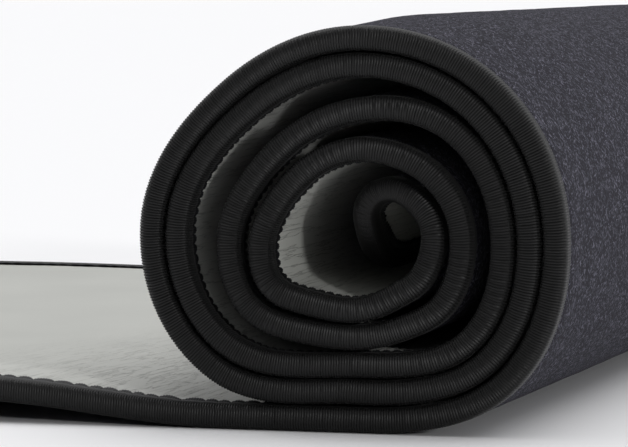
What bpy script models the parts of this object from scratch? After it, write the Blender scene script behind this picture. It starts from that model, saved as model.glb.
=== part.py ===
"""Infrared sauna blanket: a quilted heating panel, rolled up on its own tail.

The panel is drawn flat, in the three coordinates of the cloth itself: s along its length from
the foot end, y across its width, and n through its thickness, towards the heated face. The
winding then carries every point of the flat panel to its place in the roll.
"""

import bisect
from math import cos, pi, radians, sin, sqrt

import bmesh
import bpy
from mathutils import Matrix, Vector

MM = 0.001

# The panel, laid flat
PANEL_LENGTH = 2000 * MM
PANEL_WIDTH = 600 * MM
CORNER_RADIUS = 80 * MM

# The layers, from the floor up
FELT = 1.7 * MM
PADDING = 2.7 * MM
HEATER = 0.5 * MM
FACE = 0.8 * MM
LAYER_GAP = 0.3 * MM

# The binding tape that is folded round the edge
TAPE = 0.6 * MM
TAPE_ROOM = 0.7 * MM
TAPE_ON_FELT = 8.5 * MM
TAPE_ON_FACE = 10.5 * MM
TAPE_CHAMFER = 0.6 * MM

# The copper strips along both edges of the heating sheet
BUSBAR_INSET = 24 * MM
BUSBAR_WIDTH = 12 * MM
HEATER_START = 104 * MM
HEATER_END_MARGIN = 96 * MM

# The roll: what is left open in the middle at each eighth of a turn, from the lowest point
# up the right side, and how loosely each further turn lies in the turn round it. After
# WINDING_END degrees the panel curls in tightly, and its last bit sticks out straight
WRAPS = 4
TURN_GAP = 0.6 * MM
OPENING = (30.2, 38.8, 35.0, 32.3, 29.6, 29.2, 38.0, 35.0)
SLACK = (
    (0.6, 0, 0, 0, 0, 0, 0, 0),
    (0, 0, 0, 1.0, 6.6, 8.6, 10.2, 5.2),
    (0, 6.0, 5.2, 7.8, 4.0, 2.4, 2.6, 1.0),
    (0, 2.6, 0.8, 3.0, 3.0, 3.0, 4.2, 4.2),
)
WINDING_END = 1575
CURL_RADIUS = 15 * MM
CURL_LENGTH = 25 * MM
CURL_STEPS = 8
STRAIGHT_END = 20.3 * MM
FINE_STEP = 3
SMOOTHINGS = 8
STATION_STEP = 15

# Where the panel bends: the tail's fold, and the arcs that lie down as the roll opens
TAIL_HINGE_OUT = 125 * MM
UNROLL_AT = (45, 90, 150)
BODY_GAP = 0.3 * MM

# The power inlet, on the heated face in the middle of the foot end
COVER_START = 14 * MM
COVER_LENGTH = 72 * MM
COVER_WIDTH = 56 * MM
COVER_HEIGHT = 19 * MM
COVER_WALL = 2.0 * MM
COVER_ROUND = 8 * MM
COVER_EDGE = 2.5 * MM
GASKET_WIDTH = 5 * MM
GASKET = 0.8 * MM
WINDOW_MARGIN = 6.5 * MM
BASE = 1.6 * MM
BASE_MARGIN = 1.5 * MM
POCKET_ROOM = 1.0 * MM
BOSS_RADIUS = 3.5 * MM
BOSS_INSET = 12 * MM
SCREW_RADIUS = 1.25 * MM
SCREW_HEAD_RADIUS = 2.6 * MM
SCREW_HEAD = 1.0 * MM
SCREW_LENGTH = 7 * MM
FIT = 0.3 * MM

# The round socket in the cover's end wall
SOCKET_RADIUS = 6.0 * MM
SOCKET_WALL = 1.0 * MM
SOCKET_FLANGE_RADIUS = 7.8 * MM
SOCKET_FLANGE = 1.6 * MM
SOCKET_NOSE = 5 * MM
SOCKET_DEPTH = 14 * MM
PIN_RADIUS = 0.6 * MM
PIN_CIRCLE = 2.6 * MM
PIN_LENGTH = 10 * MM
PIN_COUNT = 3
INSERT_FLOOR = 4 * MM

# What is wired inside the inlet
TERMINAL = Vector((9, 26, 8)) * MM
CUTOUT = Vector((16, 8, 5)) * MM
LEAD_WIDTH = 6 * MM
SENSOR_WIDTH = 4 * MM
SENSOR_REACH = 16 * MM

THICKNESS = FELT + PADDING + HEATER + FACE + 3 * LAYER_GAP + 2 * (TAPE_ROOM + TAPE)
PITCH = THICKNESS + TURN_GAP

# How high each layer lies in the panel, as n from the middle of its thickness
FELT_AT = -THICKNESS / 2 + TAPE + TAPE_ROOM
PADDING_AT = FELT_AT + FELT + LAYER_GAP
HEATER_AT = PADDING_AT + PADDING + LAYER_GAP
FACE_AT = HEATER_AT + HEATER + LAYER_GAP
FACE_TOP = FACE_AT + FACE


def clear_scene():
    for old in list(bpy.data.objects):
        bpy.data.objects.remove(old, do_unlink=True)


# The winding


def smooth_between(values, x):
    """A smooth curve through values that are one apart, level at both ends."""
    i = min(int(x), len(values) - 2)
    t = x - i
    rise = (values[i + 1] - values[i - 1]) / 2 if i > 0 else 0
    fall = (values[i + 2] - values[i]) / 2 if i + 2 < len(values) else 0
    eased = values[i] + (values[i + 1] - values[i]) * (3 * t**2 - 2 * t**3)
    return eased + rise * (t**3 - 2 * t**2 + t) + fall * (t**3 - t**2)


def outer_turn():
    """The outermost turn's radii, FINE_STEP apart, from under the roll round to the panel there."""
    radii = [WRAPS * PITCH + opening * MM for opening in OPENING]
    radii.append(radii[0] - PITCH - SLACK[0][0] * MM)
    bends = [1 / radius for radius in radii]
    return [1 / smooth_between(bends, degree / 45) for degree in range(0, 360, FINE_STEP)]


def inside_turn(radii, step, distance):
    """The largest radius at a step that is this far in from every nearby point of radii."""
    best = radii[step]
    for other in range(max(0, step - 60 // FINE_STEP), step + 60 // FINE_STEP):
        turned_by = radians((other - step) * FINE_STEP)
        side = radii[other] * sin(turned_by)
        if abs(side) < distance:
            best = min(best, radii[other] * cos(turned_by) - sqrt(distance**2 - side**2))
    return best


def winding_radii():
    """The centreline's radius at each FINE_STEP, from under the roll to its core."""
    radii = outer_turn()
    per_turn = len(radii)
    slack = [value * MM for row in SLACK for value in row]
    slack += [slack[-1]] * 8
    while (len(radii) - 1) * FINE_STEP < WINDING_END:
        here = len(radii) - per_turn
        room = max(0, smooth_between(slack, here * FINE_STEP / 45))
        radii.append(inside_turn(radii, here, PITCH + room))
    for _ in range(SMOOTHINGS):
        inner = range(per_turn, len(radii) - 1)
        softer = [(radii[i - 1] + 2 * radii[i] + radii[i + 1]) / 4 for i in inner]
        radii[per_turn:-1] = softer
    return radii


def inward(before, after):
    """The normal on the left of the way from one point to the next."""
    way = (after - before).normalized()
    return Vector((-way.y, way.x))


def winding():
    """The centreline's points round (0, 0) and its inward normals, with a tight curl and a straight end."""
    points = []
    for step, radius in enumerate(winding_radii()):
        angle = radians(step * FINE_STEP)
        points.append(Vector((radius * sin(angle), -radius * cos(angle))))
    way = (points[-1] - points[-2]).normalized()
    length = CURL_LENGTH / CURL_STEPS
    for _ in range(CURL_STEPS):
        way.rotate(Matrix.Rotation(length / CURL_RADIUS, 2))
        points.append(points[-1] + way * length)
    normals = [Vector((0, 1))]
    normals += [inward(before, after) for before, after in zip(points, points[2:])]
    points.append(points[-1] + way * STRAIGHT_END)
    normals += [inward(points[-3], points[-2])] * 2
    return points, normals


TURN_POINTS, TURN_NORMALS = winding()
TURN_S = [0.0]
for start, stop in zip(TURN_POINTS, TURN_POINTS[1:]):
    TURN_S.append(TURN_S[-1] + (stop - start).length)

TAIL = PANEL_LENGTH - TURN_S[-1]
ROLL_BOTTOM = -TURN_POINTS[0].y


def turn_s(degree):
    """How far along the panel a turn of the winding has come."""
    return TAIL + TURN_S[degree // FINE_STEP]


def centre_and_normal(s):
    """The middle of the panel's thickness, with x from the roll's centre, and the way inward."""
    if s <= TAIL:
        return Vector((s - TAIL, -ROLL_BOTTOM)), Vector((0, 1))
    i = min(bisect.bisect_right(TURN_S, s - TAIL), len(TURN_S) - 1)
    t = (s - TAIL - TURN_S[i - 1]) / (TURN_S[i] - TURN_S[i - 1])
    normal = TURN_NORMALS[i - 1].lerp(TURN_NORMALS[i], t).normalized()
    return TURN_POINTS[i - 1].lerp(TURN_POINTS[i], t), normal


def stations():
    """The places along the panel where it bends or where its outline does."""
    marks = {0.0, TAIL - TAIL_HINGE_OUT, TAIL, PANEL_LENGTH}
    marks |= {HEATER_START, PANEL_LENGTH - HEATER_END_MARGIN}
    for degree in range(0, WINDING_END + 1, STATION_STEP):
        marks.add(turn_s(degree))
    for step in range(CURL_STEPS):
        marks.add(PANEL_LENGTH - STRAIGHT_END - CURL_LENGTH / CURL_STEPS * step)
    inset = TAPE + TAPE_ROOM
    for step in range(7):
        along = inset + (CORNER_RADIUS - inset) * (1 - cos(radians(15 * step)))
        marks.add(along)
        marks.add(PANEL_LENGTH - along)
    kept = []
    for mark in sorted(marks):
        if not kept or mark - kept[-1] > 0.02 * MM:
            kept.append(mark)
    return kept


STATIONS = stations()


def roll_reach():
    """How far the roll stands out on the side away from the tail."""
    return max((c - n * THICKNESS / 2).x for c, n in map(centre_and_normal, STATIONS))


CENTRE_X = (TAIL - roll_reach()) / 2


def on_panel(s, y, n):
    """A point of the flat panel, in its place in the rolled blanket."""
    centre, normal = centre_and_normal(s)
    point = centre + normal * n
    return Vector((CENTRE_X + point.x, y - PANEL_WIDTH / 2, ROLL_BOTTOM + THICKNESS / 2 + point.y))


# Materials and objects


def material(name, colour, roughness, metallic=0.0):
    made = bpy.data.materials.new(name)
    made.use_nodes = True
    shader = made.node_tree.nodes["Principled BSDF"]
    shader.inputs["Base Color"].default_value = (*colour, 1)
    shader.inputs["Roughness"].default_value = roughness
    shader.inputs["Metallic"].default_value = metallic
    return made


FELT_CLOTH = ((0.03, 0.03, 0.04), 0.95)
WADDING = ((0.82, 0.81, 0.77), 0.95)
CARBON_FILM = ((0.05, 0.05, 0.05), 0.6)
PU_LEATHER = ((0.46, 0.46, 0.43), 0.5)
BINDING_TAPE = ((0.012, 0.012, 0.012), 0.8)
COPPER = ((0.85, 0.42, 0.25), 0.35, 1.0)
BLACK_PLASTIC = ((0.02, 0.02, 0.02), 0.45)
WHITE_PLASTIC = ((0.7, 0.7, 0.68), 0.4)
RUBBER = ((0.03, 0.03, 0.03), 0.8)
STEEL = ((0.6, 0.6, 0.6), 0.35, 1.0)
BRASS = ((0.75, 0.55, 0.25), 0.3, 1.0)
KAPTON = ((0.6, 0.28, 0.05), 0.4)


def add_object(name, bm, look):
    """One closed solid from a bmesh, with its faces turned outward."""
    bmesh.ops.recalc_face_normals(bm, faces=bm.faces)
    if bm.calc_volume(signed=True) < 0:
        bmesh.ops.reverse_faces(bm, faces=bm.faces)
    mesh = bpy.data.meshes.new(name)
    bm.to_mesh(mesh)
    bm.free()
    mesh.materials.append(material(name, *look))
    made = bpy.data.objects.new(name, mesh)
    bpy.context.collection.objects.link(made)
    return made


def bridge(bm, rings, cap=None):
    """Sides between rings of the same number of points, and a cap on the first and last.

    A cap is one face, or several convex ones, each given by its points' places in the ring.
    """
    verts = [[bm.verts.new(point) for point in ring] for ring in rings]
    for low, high in zip(verts, verts[1:]):
        for i in range(len(low)):
            j = (i + 1) % len(low)
            bm.faces.new((low[i], low[j], high[j], high[i]))
    for corners in cap or [range(len(rings[0]))]:
        bm.faces.new([verts[0][i] for i in reversed(corners)])
        bm.faces.new([verts[-1][i] for i in corners])


def cut(target, cutters):
    """Boolean differences that stay on the object, with hidden cutters."""
    for cutter in cutters:
        cutter.hide_render = True
        cutter.display_type = "WIRE"
        hole = target.modifiers.new(cutter.name, "BOOLEAN")
        hole.operation = "DIFFERENCE"
        hole.solver = "EXACT"
        hole.object = cutter


# The layers of the panel


def corner_inset(s, inset):
    """How far a layer's edge is from the panel's long edge, at s, with its rounded corners."""
    from_end = max(0, min(s, PANEL_LENGTH - s) - inset)
    radius = CORNER_RADIUS - inset
    if from_end >= radius:
        return inset
    return inset + radius - sqrt(radius**2 - (radius - from_end) ** 2)


def between(start, stop):
    """The stations strictly between two places, with the two places themselves."""
    inner = [s for s in STATIONS if start + 0.5 * MM < s < stop - 0.5 * MM]
    return [start] + inner + [stop]


def layer(name, start, stop, low, thickness, look):
    """One cloth of one body: a strip as wide as the panel allows inside its binding."""
    bm = bmesh.new()
    inset = TAPE + TAPE_ROOM
    rings = []
    for s in between(max(start, inset), min(stop, PANEL_LENGTH - inset)):
        near = corner_inset(s, inset)
        far = PANEL_WIDTH - near
        high = low + thickness
        corners = ((near, low), (far, low), (far, high), (near, high))
        rings.append([on_panel(s, y, n) for y, n in corners])
    bridge(bm, rings)
    return add_object(name, bm, look)


def strip(name, start, stop, near, far, look):
    """A flat strip in the heating sheet's own thickness."""
    bm = bmesh.new()
    high = HEATER_AT + HEATER
    corners = ((near, HEATER_AT), (far, HEATER_AT), (far, high), (near, high))
    bridge(bm, [[on_panel(s, y, n) for y, n in corners] for s in between(start, stop)])
    return add_object(name, bm, look)


def heating_sheet(body, start, stop):
    """The heating film of one body, and the copper strips that feed its two edges."""
    start = max(start, HEATER_START)
    stop = min(stop, PANEL_LENGTH - HEATER_END_MARGIN)
    film_edge = BUSBAR_INSET + BUSBAR_WIDTH + LAYER_GAP
    film = strip(f"{body}_heating_film", start, stop, film_edge, PANEL_WIDTH - film_edge, CARBON_FILM)
    inner = BUSBAR_INSET + BUSBAR_WIDTH
    strip(f"{body}_busbar_near", start, stop, BUSBAR_INSET, inner, COPPER)
    strip(f"{body}_busbar_far", start, stop, PANEL_WIDTH - inner, PANEL_WIDTH - BUSBAR_INSET, COPPER)
    return film


# The binding


def tape_section():
    """The folded tape's section: distance in from the edge, and n. Outside first."""
    half = THICKNESS / 2
    inside = half - TAPE
    return (
        (TAPE_ON_FELT, -half),
        (TAPE_CHAMFER, -half),
        (0, -half + TAPE_CHAMFER),
        (0, half - TAPE_CHAMFER),
        (TAPE_CHAMFER, half),
        (TAPE_ON_FACE, half),
        (TAPE_ON_FACE, inside),
        (TAPE, inside),
        (TAPE, -inside),
        (TAPE_ON_FELT, -inside),
    )


TAPE_CAP = ((0, 1, 8, 9), (1, 2, 8), (2, 3, 7, 8), (3, 4, 7), (4, 5, 6, 7))


def near_edge(start, stop):
    """Places along the near long edge: s, y, and the way in from the edge along s and y."""
    places = []
    for s in between(start, stop):
        y = corner_inset(s, 0)
        if y == 0:
            places.append((s, 0, 0, 1))
            continue
        middle = CORNER_RADIUS if s < CORNER_RADIUS else PANEL_LENGTH - CORNER_RADIUS
        places.append((s, y, (middle - s) / CORNER_RADIUS, (CORNER_RADIUS - y) / CORNER_RADIUS))
    return places


def far_edge(places):
    """The same places along the far long edge, in the other order."""
    return [(s, PANEL_WIDTH - y, in_s, -in_y) for s, y, in_s, in_y in reversed(places)]


def tape(name, places):
    """The folded tape along a row of places on the panel's outline."""
    bm = bmesh.new()
    rings = []
    for s, y, in_s, in_y in places:
        rings.append([on_panel(s + e * in_s, y + e * in_y, n) for e, n in tape_section()])
    bridge(bm, rings, TAPE_CAP)
    return add_object(name, bm, BINDING_TAPE)


def binding(body, start, stop):
    """The tape of one body: round the foot end, or one length on each edge.

    At the inner end the two lengths come round their corners and meet in the middle.
    """
    if start == 0:
        places = list(reversed(near_edge(0, stop)))
        tape(f"{body}_binding", places + far_edge(places))
        return
    places = near_edge(start, stop)
    if stop == PANEL_LENGTH:
        places.append((stop, (PANEL_WIDTH - BODY_GAP) / 2, -1, 0))
    tape(f"{body}_binding_near", places)
    tape(f"{body}_binding_far", far_edge(places))


def panel_body(body, start, stop):
    """Every layer of one body of the panel, with half a gap off each end that meets another."""
    low = start + BODY_GAP / 2 if start > 0 else 0
    high = stop - BODY_GAP / 2 if stop < PANEL_LENGTH else PANEL_LENGTH
    made = {
        "felt": layer(f"{body}_felt_cover", low, high, FELT_AT, FELT, FELT_CLOTH),
        "padding": layer(f"{body}_padding", low, high, PADDING_AT, PADDING, WADDING),
        "face": layer(f"{body}_heated_face", low, high, FACE_AT, FACE, PU_LEATHER),
        "film": heating_sheet(body, low, high),
    }
    binding(body, low, high)
    return made


# Simple solids for the inlet


def rounded_block(name, low, high, radius, edge, look):
    """A block with rounded upright edges, and its top edge taken off."""
    bm = bmesh.new()
    outline = rounded_rectangle(low, high, radius)
    rings = [[Vector((x, y, low.z)) for x, y in outline]]
    if edge > 0:
        rings.append([Vector((x, y, high.z - edge)) for x, y in outline])
        slim = Vector((edge, edge, 0))
        outline = rounded_rectangle(low + slim, high - slim, radius - edge)
    rings.append([Vector((x, y, high.z)) for x, y in outline])
    bridge(bm, rings)
    return add_object(name, bm, look)


def rounded_rectangle(low, high, radius):
    """Points round a rectangle with four rounded corners, four steps to each corner."""
    points = []
    corners = (
        (high.x - radius, high.y - radius, 0),
        (low.x + radius, high.y - radius, 90),
        (low.x + radius, low.y + radius, 180),
        (high.x - radius, low.y + radius, 270),
    )
    for x, y, first in corners:
        for step in range(4):
            angle = radians(first + 30 * step)
            points.append((x + radius * cos(angle), y + radius * sin(angle)))
    return points


def turned(name, centre, axis, profile, sides, look):
    """A closed solid of revolution from (radius, distance) pairs, on an axis through centre."""
    bm = bmesh.new()
    turn = Vector((0, 0, 1)).rotation_difference(axis).to_matrix()
    rings = []
    for i in range(sides):
        angle = 2 * pi * i / sides
        ring = [Vector((r * cos(angle), r * sin(angle), h)) for r, h in profile]
        rings.append([bm.verts.new(centre + turn @ point) for point in ring])
    for i in range(sides):
        ring, following = rings[i], rings[(i + 1) % sides]
        for j in range(len(profile)):
            k = (j + 1) % len(profile)
            bm.faces.new((ring[j], ring[k], following[k], following[j]))
    bmesh.ops.remove_doubles(bm, verts=bm.verts, dist=0.001 * MM)
    return add_object(name, bm, look)


def rod(name, centre, axis, radius, length, sides, look):
    """A plain round bar that starts at centre."""
    bm = bmesh.new()
    turn = Vector((0, 0, 1)).rotation_difference(axis).to_matrix()
    rings = []
    for h in (0, length):
        angles = [2 * pi * i / sides for i in range(sides)]
        rings.append([centre + turn @ Vector((radius * cos(a), radius * sin(a), h)) for a in angles])
    bridge(bm, rings)
    return add_object(name, bm, look)


# The power inlet

TAIL_END_X = CENTRE_X - TAIL
MIDDLE_Z = THICKNESS / 2
COVER_LOW = Vector((TAIL_END_X + COVER_START, -COVER_WIDTH / 2, MIDDLE_Z + FACE_TOP + GASKET + 2 * FIT))
COVER_HIGH = COVER_LOW + Vector((COVER_LENGTH, COVER_WIDTH, COVER_HEIGHT))
COVER_MIDDLE = (COVER_LOW + COVER_HIGH) / 2
BASE_TOP = MIDDLE_Z + FACE_AT - FIT
BOSS_BOTTOM = BASE_TOP + FIT


def shrunk(low, high, margin):
    """The two corners of a box that is smaller all round, seen from above."""
    slim = Vector((margin, margin, 0))
    return low + slim, high - slim


def screw_places():
    x = COVER_LENGTH / 2 - BOSS_INSET
    y = COVER_WIDTH / 2 - BOSS_INSET
    return [COVER_MIDDLE + Vector((i * x, j * y, 0)) for i in (-1, 1) for j in (-1, 1)]


def window(name, margin, low_z, high_z):
    """A cutter through part of the panel's thickness, under the cover."""
    low, high = shrunk(COVER_LOW, COVER_HIGH, margin)
    low.z, high.z = low_z, high_z
    return rounded_block(name, low, high, COVER_ROUND / 2, 0, RUBBER)


def joined(parts, name):
    """One solid out of several that overlap."""
    body = parts[0]
    for part in parts[1:]:
        part.hide_render = True
        part.display_type = "WIRE"
        union = body.modifiers.new(part.name, "BOOLEAN")
        union.operation = "UNION"
        union.solver = "EXACT"
        union.object = part
    body.name = name
    return body


def socket_place():
    """Where the socket's axis meets the outside of the cover's end wall."""
    return Vector((COVER_LOW.x, COVER_MIDDLE.y, COVER_MIDDLE.z - COVER_EDGE / 2))


def inlet_cover():
    """The cover: a shell with four screw bosses, and a round hole for the socket."""
    shell = rounded_block("inlet_cover", COVER_LOW, COVER_HIGH, COVER_ROUND, COVER_EDGE, BLACK_PLASTIC)
    low, high = shrunk(COVER_LOW, COVER_HIGH, COVER_WALL)
    low.z -= COVER_WALL
    high.z -= COVER_WALL
    room = rounded_block("cover_room", low, high, COVER_ROUND - COVER_WALL, COVER_EDGE / 2, RUBBER)
    hole = socket_place() - Vector((COVER_WALL, 0, 0))
    mouth = rod("cover_mouth", hole, Vector((1, 0, 0)), SOCKET_RADIUS + FIT, 3 * COVER_WALL, 20, RUBBER)
    cut(shell, [room, mouth])
    bosses = []
    for i, place in enumerate(screw_places()):
        foot = Vector((place.x, place.y, BOSS_BOTTOM))
        top = COVER_HIGH.z - COVER_WALL / 2 - foot.z
        bosses.append(rod(f"boss_{i}", foot, Vector((0, 0, 1)), BOSS_RADIUS, top, 12, RUBBER))
    joined([shell] + bosses, "inlet_cover")
    bores = []
    for i, place in enumerate(screw_places()):
        foot = Vector((place.x, place.y, BOSS_BOTTOM - FIT))
        bore = SCREW_RADIUS + FIT
        bores.append(rod(f"boss_bore_{i}", foot, Vector((0, 0, 1)), bore, SCREW_LENGTH + FIT, 12, RUBBER))
    cut(shell, bores)


def inlet_base():
    """The plate under the heated face that the cover is screwed to, and its four screws."""
    low, high = shrunk(COVER_LOW, COVER_HIGH, BASE_MARGIN)
    low.z, high.z = BASE_TOP - BASE, BASE_TOP
    plate = rounded_block("inlet_base_plate", low, high, COVER_ROUND - BASE_MARGIN, 0, BLACK_PLASTIC)
    holes = []
    for i, place in enumerate(screw_places()):
        foot = Vector((place.x, place.y, low.z - FIT))
        holes.append(rod(f"base_hole_{i}", foot, Vector((0, 0, 1)), SCREW_RADIUS + FIT, 2 * BASE, 12, RUBBER))
        head = Vector((place.x, place.y, low.z - SCREW_HEAD - FIT))
        profile = (
            (0, 0),
            (SCREW_HEAD_RADIUS, 0),
            (SCREW_HEAD_RADIUS, SCREW_HEAD),
            (SCREW_RADIUS, SCREW_HEAD),
            (SCREW_RADIUS, SCREW_HEAD + FIT + BASE + SCREW_LENGTH - 2 * FIT),
            (0, SCREW_HEAD + FIT + BASE + SCREW_LENGTH - 2 * FIT),
        )
        turned(f"inlet_screw_{i + 1}", head, Vector((0, 0, 1)), profile, 10, STEEL)
    cut(plate, holes)


def inlet_gasket():
    """The flat rubber ring between the cover's rim and the heated face."""
    low, high = Vector(COVER_LOW), Vector(COVER_HIGH)
    low.z = MIDDLE_Z + FACE_TOP + FIT
    high.z = low.z + GASKET
    ring = rounded_block("inlet_gasket", low, high, COVER_ROUND, 0, RUBBER)
    cut(ring, [window("gasket_window", GASKET_WIDTH, low.z - FIT, high.z + FIT)])


def inlet_socket():
    """The metal collar in the cover's end wall, its insert, and the contact pins."""
    place = socket_place()
    outward = Vector((-1, 0, 0))
    bore = SOCKET_RADIUS - SOCKET_WALL
    back = COVER_WALL + FIT - SOCKET_DEPTH
    profile = (
        (bore, back),
        (SOCKET_RADIUS, back),
        (SOCKET_RADIUS, FIT),
        (SOCKET_FLANGE_RADIUS, FIT),
        (SOCKET_FLANGE_RADIUS, FIT + SOCKET_FLANGE),
        (SOCKET_RADIUS, FIT + SOCKET_FLANGE),
        (SOCKET_RADIUS, SOCKET_NOSE),
        (bore, SOCKET_NOSE),
    )
    turned("socket_collar", place, outward, profile, 20, STEEL)
    foot = place + outward * (back + FIT)
    insert = rod("socket_insert", foot, outward, bore - FIT, INSERT_FLOOR, 16, WHITE_PLASTIC)
    holes = []
    for i in range(PIN_COUNT):
        angle = radians(90 + 360 * i / PIN_COUNT)
        side = Vector((0, cos(angle), sin(angle))) * PIN_CIRCLE
        start = foot + side - outward * FIT
        holes.append(rod(f"pin_hole_{i}", start, outward, PIN_RADIUS + FIT, 2 * INSERT_FLOOR, 10, RUBBER))
        rod(f"socket_pin_{i + 1}", start, outward, PIN_RADIUS, PIN_LENGTH, 8, BRASS)
    cut(insert, holes)


def inlet_wiring():
    """The terminal block and the thermal cut-out on the base plate."""
    x = COVER_HIGH.x - BOSS_INSET - BOSS_RADIUS - TERMINAL.x - FIT
    low = Vector((x, -TERMINAL.y / 2, BASE_TOP + FIT))
    rounded_block("terminal_block", low, low + TERMINAL, 1.0 * MM, 0.8 * MM, WHITE_PLASTIC)
    low = Vector((x - CUTOUT.x - 3 * FIT, -CUTOUT.y / 2, BASE_TOP + FIT))
    rounded_block("thermal_cutout", low, low + CUTOUT, 1.5 * MM, 0.8 * MM, STEEL)


def lead(name, side):
    """A flat copper lead from the inlet's window out to one of the copper strips."""
    bm = bmesh.new()
    end = TAIL_END_X + HEATER_START - LAYER_GAP
    start = COVER_HIGH.x - BASE_MARGIN + POCKET_ROOM
    inner = COVER_WIDTH / 4
    outer = PANEL_WIDTH / 2 - BUSBAR_INSET
    outline = (
        (start, inner),
        (end, inner),
        (end, outer),
        (end - LEAD_WIDTH, outer),
        (end - LEAD_WIDTH, inner + LEAD_WIDTH),
        (start, inner + LEAD_WIDTH),
    )
    low = MIDDLE_Z + HEATER_AT
    rings = [[Vector((x, side * y, z)) for x, y in outline] for z in (low, low + HEATER)]
    bridge(bm, rings)
    add_object(name, bm, COPPER)


def film_sensor(film):
    """The flat temperature sensor, let into the heating film where that begins."""
    low = Vector((COVER_HIGH.x - BASE_MARGIN + POCKET_ROOM, -SENSOR_WIDTH / 2, MIDDLE_Z + HEATER_AT))
    high = Vector((TAIL_END_X + HEATER_START + SENSOR_REACH, SENSOR_WIDTH / 2, low.z + HEATER))
    rounded_block("film_temperature_sensor", low, high, 1.0 * MM, 0, KAPTON)
    margin = Vector((FIT, FIT, FIT))
    cut(film, [rounded_block("sensor_slot", low - margin, high + margin, 1.0 * MM, 0, RUBBER)])


def power_inlet(tail):
    """Everything at the foot end that brings the current in."""
    inlet_cover()
    inlet_base()
    inlet_gasket()
    inlet_socket()
    inlet_wiring()
    lead("lead_near", -1)
    lead("lead_far", 1)
    film_sensor(tail["film"])
    cut(tail["face"], [window("face_window", WINDOW_MARGIN, MIDDLE_Z + FACE_AT - FIT, COVER_LOW.z)])
    pocket_top = MIDDLE_Z + PADDING_AT + PADDING + FIT
    pocket_floor = MIDDLE_Z + PADDING_AT - FIT
    pocket = window("padding_pocket", BASE_MARGIN - POCKET_ROOM, pocket_floor, pocket_top)
    cut(tail["padding"], [pocket])


# The hinges


def fold(name, s, n, held_by, pieces):
    """An empty on the line where the panel folds, which carries the pieces that turn there."""
    place = on_panel(s, PANEL_WIDTH / 2, n)
    axis = bpy.data.objects.new(name, None)
    axis.location = place - (held_by.matrix_world.translation if held_by else Vector())
    axis.parent = held_by
    bpy.context.collection.objects.link(axis)
    bpy.context.view_layer.update()
    for piece in pieces:
        piece.parent = axis
        piece.matrix_parent_inverse = Matrix.Translation(-place)
    return axis


def build():
    clear_scene()
    cuts = [turn_s(degree) for degree in UNROLL_AT]
    panel_body("root", TAIL - TAIL_HINGE_OUT, cuts[0])
    root_pieces = set(bpy.data.objects)
    tail = panel_body("tail", 0, TAIL - TAIL_HINGE_OUT)
    power_inlet(tail)
    tail_pieces = set(bpy.data.objects) - root_pieces
    fold("tail_fold", TAIL - TAIL_HINGE_OUT, THICKNESS / 2, None, tail_pieces)
    held_by = None
    for i, body in enumerate(("arc_1", "arc_2", "roll")):
        before = set(bpy.data.objects)
        panel_body(body, cuts[i], (cuts + [PANEL_LENGTH])[i + 1])
        pieces = set(bpy.data.objects) - before
        held_by = fold(f"unroll_fold_{i + 1}", cuts[i], -THICKNESS / 2, held_by, pieces)


build()
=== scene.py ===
"""Infrared sauna blanket, rolled up on its own tail: its looks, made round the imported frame."""

from math import cos, pi, radians, sin, sqrt

import bpy
import numpy as np
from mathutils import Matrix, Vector


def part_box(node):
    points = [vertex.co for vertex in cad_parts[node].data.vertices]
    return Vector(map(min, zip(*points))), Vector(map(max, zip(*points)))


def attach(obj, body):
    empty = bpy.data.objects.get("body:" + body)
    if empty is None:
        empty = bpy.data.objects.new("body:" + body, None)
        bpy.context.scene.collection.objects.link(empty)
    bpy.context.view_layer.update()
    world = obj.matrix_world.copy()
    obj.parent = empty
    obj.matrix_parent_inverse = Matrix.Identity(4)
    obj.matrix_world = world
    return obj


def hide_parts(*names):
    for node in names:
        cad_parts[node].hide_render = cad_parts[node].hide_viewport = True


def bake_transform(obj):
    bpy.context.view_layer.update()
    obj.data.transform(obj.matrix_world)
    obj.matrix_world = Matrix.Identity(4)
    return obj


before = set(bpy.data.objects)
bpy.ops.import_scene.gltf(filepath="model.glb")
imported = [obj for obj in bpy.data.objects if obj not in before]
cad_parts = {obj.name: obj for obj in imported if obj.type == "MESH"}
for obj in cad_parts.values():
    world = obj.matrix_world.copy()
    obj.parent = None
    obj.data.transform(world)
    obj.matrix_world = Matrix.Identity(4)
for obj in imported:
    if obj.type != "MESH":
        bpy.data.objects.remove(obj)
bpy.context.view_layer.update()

# The rolled panel
# One long padded panel lies flat at its foot end and is wound more than four turns at the other.
# Every cloth is cut in the panel's own coordinates: s along it from the foot end, y across it,
# and n through its thickness towards the heated face. The winding puts them in their places.

MM = 0.001
LENGTH = 2000 * MM
WIDTH = 600 * MM
CORNER = 80 * MM
THICKNESS = 9.2 * MM
PITCH = THICKNESS + 0.6 * MM

# What is left open in the middle at each eighth of a turn, and how loose each further turn is.
# After WINDING_END degrees the panel curls in tightly, and its last bit sticks out straight.
OUTER_WRAPS = 4
OPENING = (30.2, 38.8, 35.0, 32.3, 29.6, 29.2, 38.0, 35.0)
SLACK = (
    (0.6, 0, 0, 0, 0, 0, 0, 0),
    (0, 0, 0, 1.0, 6.6, 8.6, 10.2, 5.2),
    (0, 6.0, 5.2, 7.8, 4.0, 2.4, 2.6, 1.0),
    (0, 2.6, 0.8, 3.0, 3.0, 3.0, 4.2, 4.2),
)
WINDING_END = 1575
CURL_RADIUS = 15 * MM
CURL_LENGTH = 25 * MM
CURL_STEPS = 8
STRAIGHT_END = 20.3 * MM
STEP = 3
SOFTENINGS = 8


def smooth_between(values, x):
    """A smooth curve through values that are one apart, level at both ends."""
    i = min(int(x), len(values) - 2)
    t = x - i
    rise = (values[i + 1] - values[i - 1]) / 2 if i > 0 else 0
    fall = (values[i + 2] - values[i]) / 2 if i + 2 < len(values) else 0
    eased = values[i] + (values[i + 1] - values[i]) * (3 * t**2 - 2 * t**3)
    return eased + rise * (t**3 - 2 * t**2 + t) + fall * (t**3 - t**2)


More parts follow.
